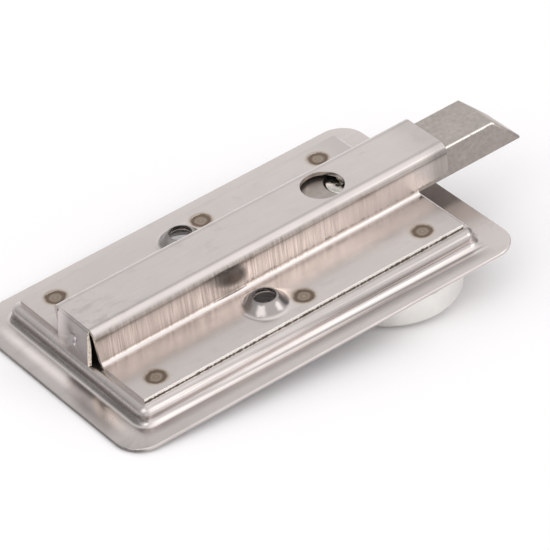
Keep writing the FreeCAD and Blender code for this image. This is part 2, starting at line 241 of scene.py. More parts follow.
near = put(tree, "ShaderNodeMath", {0: point.outputs["Y"], 1: -1.0}, operation="MULTIPLY")
slanted = put(tree, "ShaderNodeMath", {0: point.outputs["X"], 1: -LINE_SLANT, 2: near},
              operation="MULTIPLY_ADD")
lengthways = put(tree, "ShaderNodeMath", {0: point.outputs["X"]}, operation="ABSOLUTE")
between_ends = put(tree, "ShaderNodeMapRange",
                   {"Value": lengthways, "From Min": LINES_END, "From Max": LINES_WHOLE})
lines = 0.0
for offset, foot, top, change in PAINTED_ROOT_LINES.values():
    line = line_band(tree, slanted, HAIRLINE + offset, foot, top, on=change)
    lines = put(tree, "ShaderNodeMath", {0: line, 1: lines}, operation="ADD")
lines = put(tree, "ShaderNodeMath", {0: lines, 1: between_ends}, operation="MULTIPLY")

# Painted dark reflection of the dish's wall on the flange beside it
painted_wall_reflection = put(tree, "ShaderNodeMapRange",
             {"Value": slanted, "From Min": WALL_REFLECTION_EDGE + WALL_REFLECTION_WIDTH, "From Max": WALL_REFLECTION_EDGE},
             interpolation_type="SMOOTHSTEP")
on_flange = put(tree, "ShaderNodeMapRange", {"Value": point.outputs["Z"], "From Min": 0.6, "From Max": 0.1})
near_side = put(tree, "ShaderNodeMath", {0: near, 1: NEAR_SIDE}, operation="GREATER_THAN")
for mask in (on_flange, near_side, between_ends):
    painted_wall_reflection = put(tree, "ShaderNodeMath", {0: painted_wall_reflection, 1: mask}, operation="MULTIPLY")
# The tray's painted light and shade are summed into one factor, starting from the painted reflection
painted_tray_light = put(tree, "ShaderNodeMapRange", {"Value": painted_wall_reflection, "To Min": 1.0, "To Max": 0.68})
painted_tray_light = put(tree, "ShaderNodeMath", {0: painted_tray_light, 1: lines}, operation="ADD")
print("press lines", list(PAINTED_ROOT_LINES), "round a hairline", HAIRLINE, "mm from the middle")

# %% [markdown]
# ## Painted shade and light on the tray
# The dish's near shoulder has painted shade, more towards its right end, and most in a painted shadow beside
# the guide's edge. The upper part of the left wall has painted shade too. A strip of the left flange has
# painted light.

# %% Painted shade on the shoulder and the left end, painted light on a left strip
LEFT_SHADE = 0.32
LEFT_LIGHT = 0.45

guide_low, guide_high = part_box("bolt_guide")
guide_side = guide_high.y / MM
# Painted shade on the near shoulder, with a painted shadow beside the guide's edge
painted_shoulder_shade = put(tree, "ShaderNodeMapRange",
               {"Value": near, "From Min": guide_side - 0.1, "From Max": guide_side + 0.4})
above_root = put(tree, "ShaderNodeMapRange", {"Value": point.outputs["Z"], "From Min": 1.2, "From Max": 2.2})
shade_beside_guide_edge = put(tree, "ShaderNodeMapRange",
           {"Value": near, "From Min": guide_side + 1.3, "From Max": guide_side + 0.6,
            "To Min": 0.2, "To Max": 0.3})
towards_right = put(tree, "ShaderNodeMapRange",
                    {"Value": point.outputs["X"], "From Min": -45.0, "From Max": 35.0,
                     "To Min": 0.4, "To Max": 1.3})
for mask in (above_root, shade_beside_guide_edge, towards_right):
    painted_shoulder_shade = put(tree, "ShaderNodeMath", {0: painted_shoulder_shade, 1: mask}, operation="MULTIPLY")
painted_tray_light = put(tree, "ShaderNodeMath", {0: painted_tray_light, 1: painted_shoulder_shade}, operation="SUBTRACT")

# Painted shade on the upper part of the left wall
painted_left_end_shade = put(tree, "ShaderNodeMapRange",
               {"Value": point.outputs["X"], "From Min": -52.0, "From Max": -54.0})
raised = put(tree, "ShaderNodeMapRange",
             {"Value": point.outputs["Z"], "From Min": 2.0, "From Max": 3.4, "To Max": LEFT_SHADE})
painted_left_end_shade = put(tree, "ShaderNodeMath", {0: painted_left_end_shade, 1: raised}, operation="MULTIPLY")
painted_tray_light = put(tree, "ShaderNodeMath", {0: painted_tray_light, 1: painted_left_end_shade}, operation="SUBTRACT")

# Painted light on a strip of the left flange
painted_flange_light = put(tree, "ShaderNodeMapRange",
            {"Value": point.outputs["X"], "From Min": -57.0, "From Max": -58.4, "To Max": LEFT_LIGHT})
inside_rim = put(tree, "ShaderNodeMapRange",
                 {"Value": point.outputs["X"], "From Min": -61.2, "From Max": -58.8},
                 interpolation_type="SMOOTHSTEP")
outward = put(tree, "ShaderNodeMath", {0: point.outputs["Y"]}, operation="ABSOLUTE")
inside_corners = put(tree, "ShaderNodeMapRange",
                     {"Value": outward, "From Min": 33.0, "From Max": 22.0}, interpolation_type="SMOOTHSTEP")
for mask in (inside_rim, inside_corners, on_flange):
    painted_flange_light = put(tree, "ShaderNodeMath", {0: painted_flange_light, 1: mask}, operation="MULTIPLY")
painted_tray_light = put(tree, "ShaderNodeMath", {0: painted_tray_light, 1: painted_flange_light}, operation="ADD")
print("left end darker by", LEFT_SHADE, "and its clean strip lighter by", LEFT_LIGHT)

# %% [markdown]
# ## Streaks and gloss of the drawn metal
# Drawing polishes the metal where it slides over the die, so the dish's curved wall is glossier than the
# flats, with fine streaks along it. The two end walls were drawn less and stayed duller. All of them are
# found by the way their surface faces.

# %% Streaks, tone and roughness of the tray
walls = put(tree, "ShaderNodeMapRange", {"Value": facing.outputs["Z"], "From Min": 0.9, "From Max": 0.6})
streak = grain(tree, where, (22.0, 0.45, 0.45), 3.0)
streaked = put(tree, "ShaderNodeMapRange",
               {"Value": streak, "From Min": 0.35, "From Max": 0.65, "To Min": 0.84, "To Max": 1.05})
streaked = put(tree, "ShaderNodeMix", {0: walls, 2: 1.0, 3: streaked})
tone = put(tree, "ShaderNodeMix", {0: 1.0, 6: colour(SHEET_TINT), 7: light},
           data_type="RGBA", blend_type="MULTIPLY")
for factor in (painted_dark_reflection, painted_tray_light, streaked):
    tone = put(tree, "ShaderNodeMix", {0: 1.0, 6: tone, 7: factor}, data_type="RGBA", blend_type="MULTIPLY")

drawn = put(tree, "ShaderNodeMapRange",
            {"Value": facing.outputs["Z"], "From Min": 0.985, "From Max": 0.9,
             "To Min": 0.0, "To Max": -0.12})
left_end = put(tree, "ShaderNodeMapRange",
               {"Value": facing.outputs["X"], "From Min": -0.15, "From Max": -0.6, "To Max": 0.14})
right_end = put(tree, "ShaderNodeMapRange",
                {"Value": facing.outputs["X"], "From Min": 0.2, "From Max": 0.6, "To Max": 0.14})
rough = put(tree, "ShaderNodeMapRange",
            {"Value": cloud, "From Min": 0.3, "From Max": 0.7, "To Min": 0.22, "To Max": 0.28})
for change in (drawn, left_end, right_end):
    rough = put(tree, "ShaderNodeMath", {0: rough, 1: change}, operation="ADD")
finish_metal(tree, tone, rough, rolled, depth=0.004, rounding=0.2)
print("made", tray_finish.name)

# %% [markdown]
# ## The guide's walls
# The guide is the same sheet, folded. Sliding over the bending tool rubbed its walls across the fold. That
# left upright streaks less than a millimetre wide, strongest towards the tabbed end, and a warm tone. A
# wall is found by its normal, which points along y. The end tab has none of this, so the walls begin where
# it ends.

# %% Rubbed walls of the guide
TAB_END = -52.8

guide_finish, tree = new_material("rolled stainless, folded")
where = millimetres(tree)
point = put(tree, "ShaderNodeSeparateXYZ", {0: where})
facing = put(tree, "ShaderNodeSeparateXYZ", {0: put(tree, "ShaderNodeNewGeometry").outputs["Normal"]})
outward = put(tree, "ShaderNodeMath", {0: point.outputs["Y"]}, operation="ABSOLUTE")
sideways = put(tree, "ShaderNodeMath", {0: facing.outputs["Y"]}, operation="ABSOLUTE")
light, cloud, rolled = sheet_light(tree, where)
tone = put(tree, "ShaderNodeMix", {0: 1.0, 6: colour(SHEET_TINT), 7: light},
           data_type="RGBA", blend_type="MULTIPLY")

upright = put(tree, "ShaderNodeMapRange",
              {"Value": sideways, "From Min": 0.8, "From Max": 0.97}, interpolation_type="SMOOTHSTEP")
past_tab = put(tree, "ShaderNodeMath", {0: point.outputs["X"], 1: TAB_END}, operation="GREATER_THAN")
wall = put(tree, "ShaderNodeMath", {0: upright, 1: past_tab}, operation="MULTIPLY")
broad = grain(tree, where, (0.75, 40.0, 16.0), 2.0)
narrow = grain(tree, where, (0.38, 40.0, 12.0), 2.0)
streaks = put(tree, "ShaderNodeMix", {0: 0.45, 2: broad, 3: narrow})
patch = grain(tree, where, (8.0, 40.0, 14.0), 2.0)
patchy = put(tree, "ShaderNodeMapRange",
             {"Value": patch, "From Min": 0.35, "From Max": 0.6, "To Min": 0.55, "To Max": 1.0})
towards_tab = put(tree, "ShaderNodeMapRange",
                  {"Value": point.outputs["X"], "From Min": 45.0, "From Max": 5.0,
                   "To Min": 0.3, "To Max": 1.0},
                  interpolation_type="SMOOTHSTEP")
rub = put(tree, "ShaderNodeMath", {0: patchy, 1: towards_tab}, operation="MULTIPLY")
streaked = put(tree, "ShaderNodeMapRange",
               {"Value": streaks, "From Min": 0.38, "From Max": 0.62, "To Min": 0.7, "To Max": 1.22})
streaked = put(tree, "ShaderNodeMix", {0: rub, 2: 1.0, 3: streaked})
warm = put(tree, "ShaderNodeMix", {0: towards_tab, 6: colour("CAC1BC"), 7: colour("CDC2BB")},
           data_type="RGBA")
print("started", guide_finish.name)

# %% [markdown]
# ## Painted dark lines, ticks and painted light on the walls
# A painted thin dark line runs below the upper fold and another above the lower fold, where short dark
# ticks stand in a row along the right-hand part of the wall. Between them painted light makes the wall
# lighter downwards.

# %% Painted dark lines, ticks and painted light on the walls
FLANGE_TOP = guide_low.z / MM + SHEET
UPPER_LINE = guide_high.z / MM - 2.7
LOWER_LINE = FLANGE_TOP + 1.4
TICK_HEIGHT = FLANGE_TOP + 1.75

# Painted shade: thin dark lines below the upper fold and above the lower fold
painted_upper_dark_line = line_band(tree, point.outputs["Z"], UPPER_LINE, 0.35, 0.1, beside=1.0, on=0.68)
painted_lower_dark_line = line_band(tree, point.outputs["Z"], LOWER_LINE, 0.3, 0.05, beside=1.0, on=0.78)
tick = line_band(tree, point.outputs["Z"], TICK_HEIGHT, 0.45, 0.15)
broken = put(tree, "ShaderNodeMapRange",
             {"Value": grain(tree, where, (1.0, 40.0, 3.0), 2.0), "From Min": 0.5, "From Max": 0.58})
right_part = put(tree, "ShaderNodeMapRange",
                 {"Value": point.outputs["X"], "From Min": -14.0, "From Max": -4.0})
for mask in (broken, right_part):
    tick = put(tree, "ShaderNodeMath", {0: tick, 1: mask}, operation="MULTIPLY")
ticked = put(tree, "ShaderNodeMapRange", {"Value": tick, "To Min": 1.0, "To Max": 0.6})
# Painted light: the wall grows lighter downwards, more so towards the tab
painted_lighter_downwards = put(tree, "ShaderNodeMapRange",
                {"Value": point.outputs["Z"], "From Min": 13.8, "From Max": 7.6,
                 "To Min": 0.87, "To Max": 1.2})
painted_lighter_downwards = put(tree, "ShaderNodeMix", {0: towards_tab, 2: 1.0, 3: painted_lighter_downwards})
wall_tone = warm
for factor in (streaked, painted_upper_dark_line, ticked, painted_lower_dark_line, painted_lighter_downwards):
    wall_tone = put(tree, "ShaderNodeMix", {0: 1.0, 6: wall_tone, 7: factor},
                    data_type="RGBA", blend_type="MULTIPLY")
tone = put(tree, "ShaderNodeMix", {0: wall, 6: tone, 7: wall_tone}, data_type="RGBA")
print("wall marks at", round(TICK_HEIGHT, 2), "and", round(UPPER_LINE, 2), "mm above the tray's flange")

# %% [markdown]
# ## Light and dark places of the folds
# The upper fold has painted shade on its lower half, and a faint painted dark line runs along the roof where
# the fold begins. The lower fold has a painted highlight. Beside it the flange has a painted dark reflection,
# and the flange's right end has painted shade. The changes are added up, and then multiply the tone.

# %% Folds and the flange beside them
FOLD_START = 6.75
FOLD_FOOT = 10.5
FOLD_TOP = FLANGE_TOP + 1.35

# Painted shade on the lower half of the upper fold
steep = put(tree, "ShaderNodeMapRange",
            {"Value": facing.outputs["Z"], "From Min": 0.8, "From Max": 0.55},
            interpolation_type="SMOOTHSTEP")
high = put(tree, "ShaderNodeMapRange", {"Value": point.outputs["Z"], "From Min": 13.0, "From Max": 14.0})
bent = put(tree, "ShaderNodeMath", {0: sideways, 1: 0.3}, operation="GREATER_THAN")
for mask in (high, bent):
    steep = put(tree, "ShaderNodeMath", {0: steep, 1: mask}, operation="MULTIPLY")
fold_light_and_marks = put(tree, "ShaderNodeMapRange", {"Value": steep, "To Min": 1.0, "To Max": 0.8})
# Painted dark line along the roof where the fold begins
painted_start_line = line_band(tree, outward, FOLD_START, 0.8, 0.1, on=-0.14, interpolation="SMOOTHSTEP")
painted_start_line = put(tree, "ShaderNodeMath", {0: painted_start_line, 1: high}, operation="MULTIPLY")

# Painted highlight along the lower fold
painted_fold_highlight = put(tree, "ShaderNodeMapRange",
                {"Value": point.outputs["Z"], "From Min": FOLD_TOP, "From Max": FOLD_TOP - 0.25})
in_fold = put(tree, "ShaderNodeMapRange",
              {"Value": outward, "From Min": FOLD_FOOT + 0.4, "From Max": FOLD_FOOT - 0.1, "To Max": 0.3})
painted_fold_highlight = put(tree, "ShaderNodeMath", {0: painted_fold_highlight, 1: in_fold}, operation="MULTIPLY")

low = put(tree, "ShaderNodeMapRange",
          {"Value": point.outputs["Z"], "From Min": FLANGE_TOP + 0.9, "From Max": FLANGE_TOP + 0.1})
# Painted dark reflection on the flange beside the lower fold
pressed = put(tree, "ShaderNodeMapRange",
              {"Value": outward, "From Min": FOLD_FOOT + 6.5, "From Max": FOLD_FOOT, "To Max": -0.24},
              interpolation_type="SMOOTHSTEP")
pressed = put(tree, "ShaderNodeMath", {0: pressed, 1: low}, operation="MULTIPLY")
# Painted shade on the flange's right end
painted_right_shade = put(tree, "ShaderNodeMapRange",
             {"Value": point.outputs["X"], "From Min": 38.0, "From Max": 54.0, "To Max": -0.14})
painted_right_shade = put(tree, "ShaderNodeMath", {0: painted_right_shade, 1: low}, operation="MULTIPLY")
for change in (painted_start_line, painted_fold_highlight, pressed, painted_right_shade):
    fold_light_and_marks = put(tree, "ShaderNodeMath", {0: fold_light_and_marks, 1: change}, operation="ADD")
print("lower fold ends", FOLD_FOOT, "mm from the middle")

# %% [markdown]
# ## Painted reflection on the near flange
# A little way out from the fold, past the painted dark reflection, the near flange has a painted reflection
# of the wall's bright foot. It is brightest in the middle of the latch, fainter towards the tab, and it stops
# before the shaded right end.

# %% Painted reflection on the near flange
BRIGHT_START = FOLD_FOOT + 3.0
BRIGHT_END = FOLD_FOOT + 6.5

near = put(tree, "ShaderNodeMath", {0: point.outputs["Y"], 1: -1.0}, operation="MULTIPLY")
painted_foot_reflection = put(tree, "ShaderNodeMapRange",
             {"Value": near, "From Min": FOLD_FOOT, "From Max": BRIGHT_START},
             interpolation_type="SMOOTHSTEP")
fading = put(tree, "ShaderNodeMapRange",
             {"Value": near, "From Min": BRIGHT_END + 3.0, "From Max": BRIGHT_END},
             interpolation_type="SMOOTHSTEP")
left_of_right_shade = put(tree, "ShaderNodeMapRange",
                     {"Value": point.outputs["X"], "From Min": 36.0, "From Max": 22.0, "To Max": 0.27})
off_tab = put(tree, "ShaderNodeMapRange",
              {"Value": point.outputs["X"], "From Min": -50.0, "From Max": -6.0,
               "To Min": 0.2, "To Max": 1.0})
for mask in (fading, low, left_of_right_shade, off_tab):
    painted_foot_reflection = put(tree, "ShaderNodeMath", {0: painted_foot_reflection, 1: mask}, operation="MULTIPLY")
fold_light_and_marks = put(tree, "ShaderNodeMath", {0: fold_light_and_marks, 1: painted_foot_reflection}, operation="ADD")
print("flange bright from", BRIGHT_START, "to", BRIGHT_END, "mm")

# %% [markdown]
# ## Use and handling
# The guide's walls are greyer towards the mouth, unevenly. Fingers left smudges on the roof's tabbed end.

# %% Grey mouth and smudges
MOUTH_START = 53.0
MOUTH_WHOLE = 60.0

mouth = put(tree, "ShaderNodeMapRange",
            {"Value": point.outputs["X"], "From Min": MOUTH_START, "From Max": MOUTH_WHOLE},
            interpolation_type="SMOOTHSTEP")
greyed = put(tree, "ShaderNodeMapRange",
             {"Value": sideways, "From Min": 0.3, "From Max": 0.9, "To Min": 0.05, "To Max": 0.4})
uneven = put(tree, "ShaderNodeMapRange",
             {"Value": patch, "From Min": 0.3, "From Max": 0.6, "To Min": 1.0, "To Max": 0.6})
for mask in (uneven, mouth):
    greyed = put(tree, "ShaderNodeMath", {0: greyed, 1: mask}, operation="MULTIPLY")
smear = put(tree, "ShaderNodeMapRange",
            {"Value": grain(tree, where, (4.0, 2.5, 2.5), 3.0),
             "From Min": 0.5, "From Max": 0.66, "To Max": 0.14})
tabbed_end = put(tree, "ShaderNodeMapRange",
                 {"Value": point.outputs["X"], "From Min": -34.0, "From Max": -48.0})
for mask in (tabbed_end, high):
    smear = put(tree, "ShaderNodeMath", {0: smear, 1: mask}, operation="MULTIPLY")
for change in (greyed, smear):
    fold_light_and_marks = put(tree, "ShaderNodeMath", {0: fold_light_and_marks, 1: change}, operation="SUBTRACT")
tone = put(tree, "ShaderNodeMix", {0: 1.0, 6: tone, 7: fold_light_and_marks}, data_type="RGBA", blend_type="MULTIPLY")
print("mouth rubbed from", MOUTH_START, "mm")

# %% [markdown]
# ## Gloss of the guide
# The guide is about as rough as the tray. In the folds the metal is stretched, which makes them smoother,
# and a fold is a place whose normal turns both up and sideways. The streaks change the walls' gloss a
# little, and the mouth is rubbed dull.

# %% Roughness of the guide
GUIDE_ROUGH = (0.2, 0.26)

rough = put(tree, "ShaderNodeMapRange",
            {"Value": cloud, "From Min": 0.3, "From Max": 0.7,
             "To Min": GUIDE_ROUGH[0], "To Max": GUIDE_ROUGH[1]})
dull = put(tree, "ShaderNodeMapRange",
           {"Value": streaks, "From Min": 0.36, "From Max": 0.64, "To Min": 0.04, "To Max": -0.04})
dull = put(tree, "ShaderNodeMath", {0: dull, 1: wall}, operation="MULTIPLY")
flatness = put(tree, "ShaderNodeMath", {0: facing.outputs["Z"]}, operation="ABSOLUTE")
curved = put(tree, "ShaderNodeMath", {0: sideways, 1: flatness}, operation="MINIMUM")
stretched = put(tree, "ShaderNodeMapRange",
                {"Value": curved, "From Min": 0.05, "From Max": 0.3, "To Min": 0.0, "To Max": -0.1})
dull_mouth = put(tree, "ShaderNodeMapRange",
                 {"Value": point.outputs["X"],
                  "From Min": MOUTH_START - 1.0, "From Max": MOUTH_WHOLE, "To Max": 0.16})
for change in (dull, stretched, dull_mouth):
    rough = put(tree, "ShaderNodeMath", {0: rough, 1: change}, operation="ADD")
print("guide roughness", GUIDE_ROUGH, "before folds, streaks and mouth change it")

# %% [markdown]
# ## Spot welds
# Six spot welds hold the guide to the dish. The electrode leaves a shallow round dent, and the heat around
# it colours the steel: a brown ring, a paler middle and a faint straw halo. The colour depends on the
# distance from the nearest weld's centre, wobbled a little by noise, and a colour ramp turns that distance
# to a tint.

# %% Brown rings of the spot welds
WELD_X = (-44.5, 2.9, 42.4)
WELD_FROM_SIDE = 5.3
HALO = 4.5
FAR_AWAY = 99.0
RING_STOPS = [(0.0, "A39588"), (0.18, "8D7E72"), (0.28, "9E9083"), (0.44, "736357"), (0.56, "736357"),
              (0.66, "AFA195"), (0.78, "C9BEB5"), (1.0, SHEET_TINT)]

weld_y = guide_high.y / MM - WELD_FROM_SIDE
flat = put(tree, "ShaderNodeCombineXYZ", {0: point.outputs["X"], 1: outward})
nearest = FAR_AWAY
for weld_x in WELD_X:
    reach = put(tree, "ShaderNodeVectorMath", {0: flat, 1: (weld_x, weld_y, 0)}, operation="DISTANCE")
    nearest = put(tree, "ShaderNodeMath", {0: reach, 1: nearest}, operation="MINIMUM")
wobble = put(tree, "ShaderNodeMapRange",
             {"Value": grain(tree, where, (2.2, 2.2, 2.2), 2.0), "From Min": 0.3, "From Max": 0.7,
              "To Min": -0.22, "To Max": 0.22})
wobbled = put(tree, "ShaderNodeMath", {0: nearest, 1: wobble}, operation="ADD")
in_halo = put(tree, "ShaderNodeMath", {0: wobbled, 1: HALO}, operation="DIVIDE")
ring = put(tree, "ShaderNodeValToRGB", {0: in_halo})
ramp = ring.color_ramp.elements
ramp[0].color = colour(RING_STOPS[0][1])
ramp[1].position = RING_STOPS[-1][0]
ramp[1].color = colour(RING_STOPS[-1][1])
for stop, code in RING_STOPS[1:-1]:
    ramp.new(stop).color = colour(code)
near_weld = put(tree, "ShaderNodeMapRange",
                {"Value": nearest, "From Min": HALO, "From Max": 2.8}, interpolation_type="SMOOTHSTEP")
on_plate = put(tree, "ShaderNodeMath", {0: point.outputs["Z"], 1: FLANGE_TOP + 1.0}, operation="LESS_THAN")
near_weld = put(tree, "ShaderNodeMath", {0: near_weld, 1: on_plate}, operation="MULTIPLY")
tone = put(tree, "ShaderNodeMix", {0: near_weld, 6: tone, 7: ring}, data_type="RGBA")
print("welds", len(WELD_X) * 2, "at y", round(weld_y, 2))

# %% [markdown]
# ## Sheared edges
# Shearing cuts the upper part of a sheet's edge clean and bright, and tears the rest, which stays rough and
# dark; that dark band is also painted shadow of the gap under the edge. The flange's long edges show both
# bands, with a ragged border between them. The end tab's edge is torn over its whole thickness, so it is a
# coarse cream colour with brown pits. Both are found by a normal along y and by place.

# %% Sheared and torn edges
TAB_SIDE = 6.0
CHANNEL_SIDE = 20.0
EDGE_ROUGHER = 0.25

below_top = put(tree, "ShaderNodeMath", {0: point.outputs["Z"], 1: FLANGE_TOP + 0.02}, operation="LESS_THAN")
past_channel = put(tree, "ShaderNodeMath", {0: outward, 1: CHANNEL_SIDE}, operation="GREATER_THAN")
long_edge = wall
for mask in (below_top, past_channel):
    long_edge = put(tree, "ShaderNodeMath", {0: long_edge, 1: mask}, operation="MULTIPLY")
ragged = put(tree, "ShaderNodeMapRange",
             {"Value": grain(tree, where, (0.7, 40.0, 0.5), 2.0), "From Min": 0.3, "From Max": 0.7,
              "To Min": -0.25, "To Max": 0.25})
shear_height = put(tree, "ShaderNodeMath", {0: point.outputs["Z"], 1: ragged}, operation="ADD")
clean_cut = put(tree, "ShaderNodeMapRange",
                {"Value": shear_height,
                 "From Min": FLANGE_TOP - 0.78 * SHEET, "From Max": FLANGE_TOP - 0.6 * SHEET})
# The dark band's colour is partly the torn metal and partly painted shadow of the gap under the edge
edge_tone_and_shadow = put(tree, "ShaderNodeMix", {0: clean_cut, 6: colour("6E635B"), 7: colour("FFFCF8")},
                data_type="RGBA")
tone = put(tree, "ShaderNodeMix", {0: long_edge, 6: tone, 7: edge_tone_and_shadow}, data_type="RGBA")

on_tab = put(tree, "ShaderNodeMath", {0: point.outputs["X"], 1: TAB_END}, operation="LESS_THAN")
beside_tab = put(tree, "ShaderNodeMath", {0: outward, 1: TAB_SIDE}, operation="GREATER_THAN")
tab_edge = upright
for mask in (on_tab, beside_tab):
    tab_edge = put(tree, "ShaderNodeMath", {0: tab_edge, 1: mask}, operation="MULTIPLY")
grit = grain(tree, where, (0.6, 0.6, 0.7), 3.0)
torn = put(tree, "ShaderNodeMapRange", {"Value": grit, "From Min": 0.36, "From Max": 0.5})
torn_tone = put(tree, "ShaderNodeMix", {0: torn, 6: colour("94765A"), 7: colour("FFF3E4")}, data_type="RGBA")
tone = put(tree, "ShaderNodeMix", {0: tab_edge, 6: tone, 7: torn_tone}, data_type="RGBA")
sheared = put(tree, "ShaderNodeMath", {0: long_edge, 1: tab_edge}, operation="MAXIMUM")
rough = put(tree, "ShaderNodeMath", {0: sheared, 1: EDGE_ROUGHER, 2: rough}, operation="MULTIPLY_ADD")
print("sheared edge of", SHEET, "mm sheet")

# %% [markdown]
# ## End tab
# The end tab was clamped while its pip was pressed in. It has painted shade in the middle and on its near
# side, with a darker painted shade beside the pip. The pip itself has two painted highlights. Shade and
# highlights are soft patches, each round a point of the tab.

# %% Painted shade and highlights of the tab and its pip
PIP_HEIGHT = 10.65
# The first patch is painted shade beside the pip, the other two are painted highlights on it
# Each patch's place along y and z from the pip, its radius, how strong it is and its colour
PIP_SHADE_AND_HIGHLIGHTS = [
    (0.9, 2.3, 2.2, 0.5, "6F6865"),
    (-0.3, -0.2, 0.6, 0.9, "FFFFFF"),
    (-0.7, -1.5, 0.5, 0.8, "FFFFFF"),
]

# Painted shade on the tab's middle and near side
painted_tab_shade = put(tree, "ShaderNodeMapRange",
              {"Value": point.outputs["Y"], "From Min": 6.5, "From Max": 1.0},
              interpolation_type="SMOOTHSTEP")
clouded = put(tree, "ShaderNodeMapRange",
              {"Value": cloud, "From Min": 0.3, "From Max": 0.7, "To Min": 0.85, "To Max": 1.0})
not_edge = put(tree, "ShaderNodeMath", {0: 1.0, 1: tab_edge}, operation="SUBTRACT")
for mask in (clouded, on_tab, not_edge):
    painted_tab_shade = put(tree, "ShaderNodeMath", {0: painted_tab_shade, 1: mask}, operation="MULTIPLY")
tone = put(tree, "ShaderNodeMix", {0: painted_tab_shade, 6: tone, 7: colour("9A9493")}, data_type="RGBA")
tab_plane = put(tree, "ShaderNodeCombineXYZ", {0: point.outputs["Y"], 1: point.outputs["Z"]})
for across, up, radius, amount, code in PIP_SHADE_AND_HIGHLIGHTS:
    middle = (across, PIP_HEIGHT + up, 0)
    reach = put(tree, "ShaderNodeVectorMath", {0: tab_plane, 1: middle}, operation="DISTANCE")
    spot = put(tree, "ShaderNodeMapRange",
               {"Value": reach, "From Min": radius, "From Max": 0.0, "To Max": amount},
               interpolation_type="SMOOTHSTEP")
    spot = put(tree, "ShaderNodeMath", {0: spot, 1: on_tab}, operation="MULTIPLY")
    tone = put(tree, "ShaderNodeMix", {0: spot, 6: tone, 7: colour(code)}, data_type="RGBA")
print("pip at", PIP_HEIGHT, "mm with", len(PIP_SHADE_AND_HIGHLIGHTS), "patches")

# %% [markdown]
# ## Dimples
# The dimples were pressed and spun smooth. They have painted shade that makes them darker than the flat
# sheet, most of all on their far and right-hand sides.

# %% Painted shade on the dimples
SCREW = (-6.5, 18.4, 0)
DIMPLE = 6.3
DIMPLE_SHADE = 0.52
# The sides with darker painted shade still: axis, where the change starts and ends on the normal, and the
# factor
PAINTED_DARK_SIDES = [("Y", -0.15, 0.25, 0.62), ("X", 0.3, 0.6, 0.75)]

from_screw = put(tree, "ShaderNodeVectorMath", {0: flat, 1: SCREW}, operation="DISTANCE")
spun = put(tree, "ShaderNodeMapRange",
           {"Value": from_screw, "From Min": DIMPLE + 0.3, "From Max": DIMPLE - 0.8},
           interpolation_type="SMOOTHSTEP")
painted_dimple_shade = put(tree, "ShaderNodeMix", {0: spun, 2: 1.0, 3: DIMPLE_SHADE})
for axis, start, end, darkest in PAINTED_DARK_SIDES:
    shaded_side = put(tree, "ShaderNodeMapRange",
               {"Value": facing.outputs[axis], "From Min": start, "From Max": end,
                "To Min": 1.0, "To Max": darkest})
    shaded_side = put(tree, "ShaderNodeMix", {0: spun, 2: 1.0, 3: shaded_side})
    painted_dimple_shade = put(tree, "ShaderNodeMath", {0: painted_dimple_shade, 1: shaded_side}, operation="MULTIPLY")
tone = put(tree, "ShaderNodeMix", {0: 1.0, 6: tone, 7: painted_dimple_shade}, data_type="RGBA", blend_type="MULTIPLY")
rough = put(tree, "ShaderNodeMath", {0: spun, 1: 0.03, 2: rough}, operation="MULTIPLY_ADD")
print("dimples at x", SCREW[0], "and y", SCREW[1])

# %% [markdown]
# ## Relief of the guide
# Streaks and torn grit also catch light by their shape. Their heights are a few thousandths of a
# millimetre, so they go to a bump rather than to the mesh. The tab's torn edge is so coarse that it
# scatters light as a chalky surface does, so it is made mostly unmetallic.

# %% Relief of the guide
STREAK_HEIGHT = 1.5
GRIT_HEIGHT = 14.0

streak_relief = put(tree, "ShaderNodeMath", {0: streaks, 1: wall}, operation="MULTIPLY")
grit_relief = put(tree, "ShaderNodeMath", {0: grit, 1: sheared}, operation="MULTIPLY")
relief = put(tree, "ShaderNodeMath", {0: streak_relief, 1: STREAK_HEIGHT, 2: rolled},
             operation="MULTIPLY_ADD")
relief = put(tree, "ShaderNodeMath", {0: grit_relief, 1: GRIT_HEIGHT, 2: relief}, operation="MULTIPLY_ADD")
crumbled = put(tree, "ShaderNodeMapRange", {"Value": tab_edge, "To Min": 1.0, "To Max": 0.2})
finish_metal(tree, tone, rough, relief, depth=0.005, rounding=0.15, metallic=crumbled)
print("made", guide_finish.name)

# %% [markdown]
# ## The bolt
# The bolt is a bar of plain steel with a dull, mottled skin, as tumbling or a pickling bath leaves it. Soft
# blotches about a millimetre wide give it its matte grey. Its upper edges have rubbed in the guide until they
# shine, and their lighter tone is partly a painted highlight. A worn edge is a place whose normal turns both
# up and sideways, so it is found by both at once.

# %% Tumbled bar steel with worn edges and their painted highlight
BOLT_TOP = 14.5

bolt_finish, tree = new_material("tumbled bar steel")
where = millimetres(tree)
point = put(tree, "ShaderNodeSeparateXYZ", {0: where})
facing = put(tree, "ShaderNodeSeparateXYZ", {0: put(tree, "ShaderNodeNewGeometry").outputs["Normal"]})
blotch = grain(tree, where, (1.3, 1.3, 1.3), 4.0)
blotched = put(tree, "ShaderNodeMapRange",
               {"Value": blotch, "From Min": 0.33, "From Max": 0.67, "To Min": 0.91, "To Max": 1.08})
clouded = put(tree, "ShaderNodeMapRange",
              {"Value": grain(tree, where, (6.0, 4.0, 4.0), 3.0), "From Min": 0.3, "From Max": 0.7,
               "To Min": 0.93, "To Max": 1.06})

sideways = put(tree, "ShaderNodeMath", {0: facing.outputs["Y"]}, operation="ABSOLUTE")
flatness = put(tree, "ShaderNodeMath", {0: facing.outputs["Z"]}, operation="ABSOLUTE")
endways = put(tree, "ShaderNodeMath", {0: facing.outputs["X"]}, operation="ABSOLUTE")
both = put(tree, "ShaderNodeMath", {0: sideways, 1: flatness}, operation="MINIMUM")
